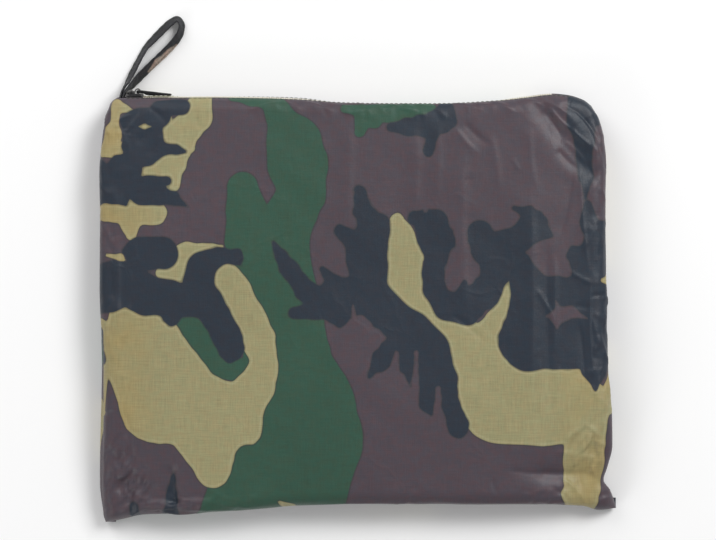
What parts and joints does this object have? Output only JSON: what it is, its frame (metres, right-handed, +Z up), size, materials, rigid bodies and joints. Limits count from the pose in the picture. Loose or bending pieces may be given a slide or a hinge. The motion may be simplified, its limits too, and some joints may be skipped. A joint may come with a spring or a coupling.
{
  "type": "rain poncho packed in its zip pouch",
  "caption": "Rain poncho folded flat inside its own camouflage zip pouch, with a wrist loop at one corner, lying on its back.",
  "frame": {"origin": "middle of the whole object's footprint, wrist loop included, on the surface that the back panel lies on", "axes": "+X along the zip from the slider and wrist loop's end to its closed-in end, +Y from the bottom seam to the zip, +Z up from the back panel to the front panel"},
  "size_m": [0.3366, 0.3307, 0.03],
  "materials": {
    "camouflage_cloth": "coated nylon in a four-colour woodland pattern, low soft sheen",
    "folded_cloth": "the same coated nylon, folded in layers inside the pouch",
    "zip_tape": "pale cream woven tape, matt",
    "zip_coil": "pale cream nylon coil, satin",
    "black_enamel": "black enamel, satin, worn brighter at the edges"
  },
  "bodies": {
    "pouch": {"front_panel": "camouflage_cloth", "back_panel": "camouflage_cloth", "folded_poncho": "folded_cloth", "zip_tape_front": "zip_tape", "zip_tape_back": "zip_tape", "zip_chain": "zip_coil", "slider": "black_enamel", "wrist_loop": "camouflage_cloth"},
    "pull": {"pull_tab": "black_enamel"}
  },
  "joints": [
    {"name": "pull_swing", "type": "hinge", "parent": "pouch", "child": "pull", "pos_m": [-0.1427, 0.11491, 0.01467], "axis": [0, -0.1219, 0.9925], "range_deg": [0, 135]}
  ]
}
